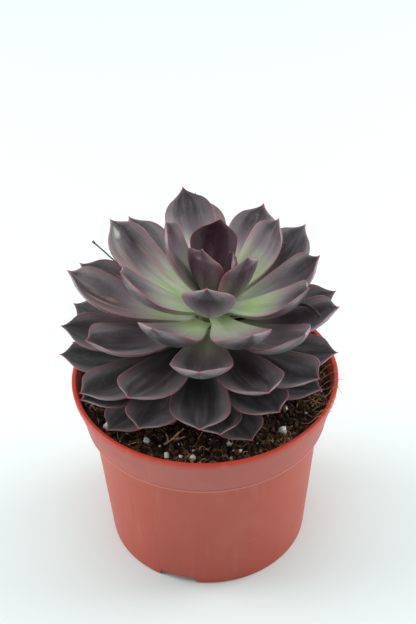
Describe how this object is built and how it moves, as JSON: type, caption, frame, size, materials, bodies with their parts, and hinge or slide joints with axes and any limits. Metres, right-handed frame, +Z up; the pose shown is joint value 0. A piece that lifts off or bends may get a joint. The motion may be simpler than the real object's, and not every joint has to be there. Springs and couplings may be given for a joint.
{
  "type": "potted succulent",
  "caption": "Rosette succulent of thick pointed leaves on a short leaning stem, in soil in a round tapered plastic nursery pot with a collar and foot notches.",
  "frame": {"origin": "middle of the pot's foot, on the surface that the pot stands on", "axes": "+Z up, -Y towards the viewer, +X to the viewer's right"},
  "size_m": [0.1069, 0.1065, 0.1472],
  "materials": {
    "terracotta_plastic": "satin moulded plastic",
    "potting_soil": "loose peat with perlite grains",
    "stem_green": "green plant stem",
    "leaf_young": "waxy dark purple leaf skin",
    "leaf_middle": "waxy plum leaf skin with a green foot",
    "leaf_old": "waxy grey plum leaf skin",
    "dry_stalk": "dry brown stalk"
  },
  "bodies": {
    "root": {"pot": "terracotta_plastic", "soil": "potting_soil", "stem": "stem_green", "leaf_01": "leaf_young", "leaf_02": "leaf_young", "leaf_03": "leaf_young", "leaf_04": "leaf_young", "leaf_05": "leaf_middle", "leaf_06": "leaf_middle", "leaf_07": "leaf_middle", "leaf_08": "leaf_middle", "leaf_09": "leaf_middle", "leaf_10": "leaf_middle", "leaf_11": "leaf_middle", "leaf_12": "leaf_middle", "leaf_13": "leaf_middle", "leaf_14": "leaf_middle", "leaf_15": "leaf_middle", "leaf_16": "leaf_middle", "leaf_17": "leaf_middle", "leaf_18": "leaf_middle", "leaf_19": "leaf_middle", "leaf_20": "leaf_middle", "leaf_21": "leaf_middle", "leaf_22": "leaf_middle", "leaf_23": "leaf_old", "leaf_24": "leaf_old", "leaf_25": "leaf_old", "leaf_26": "leaf_old", "leaf_27": "leaf_old", "leaf_28": "leaf_old", "leaf_29": "leaf_old", "leaf_30": "leaf_old", "leaf_31": "leaf_old", "leaf_32": "leaf_old", "leaf_33": "leaf_old", "leaf_34": "leaf_old", "leaf_35": "leaf_old", "leaf_36": "leaf_old", "leaf_37": "leaf_old", "leaf_38": "leaf_old", "leaf_39": "leaf_old", "leaf_40": "leaf_old", "leaf_41": "leaf_old", "leaf_42": "leaf_old", "leaf_43": "leaf_old", "leaf_44": "leaf_old", "leaf_45": "leaf_old", "leaf_46": "leaf_old", "leaf_47": "leaf_old", "leaf_48": "leaf_old", "leaf_49": "leaf_old", "leaf_50": "leaf_old", "leaf_51": "leaf_old", "leaf_52": "leaf_old", "leaf_53": "leaf_old", "leaf_54": "leaf_old", "flower_stalk_left": "dry_stalk", "flower_stalk_right": "dry_stalk"}
  },
  "joints": []
}
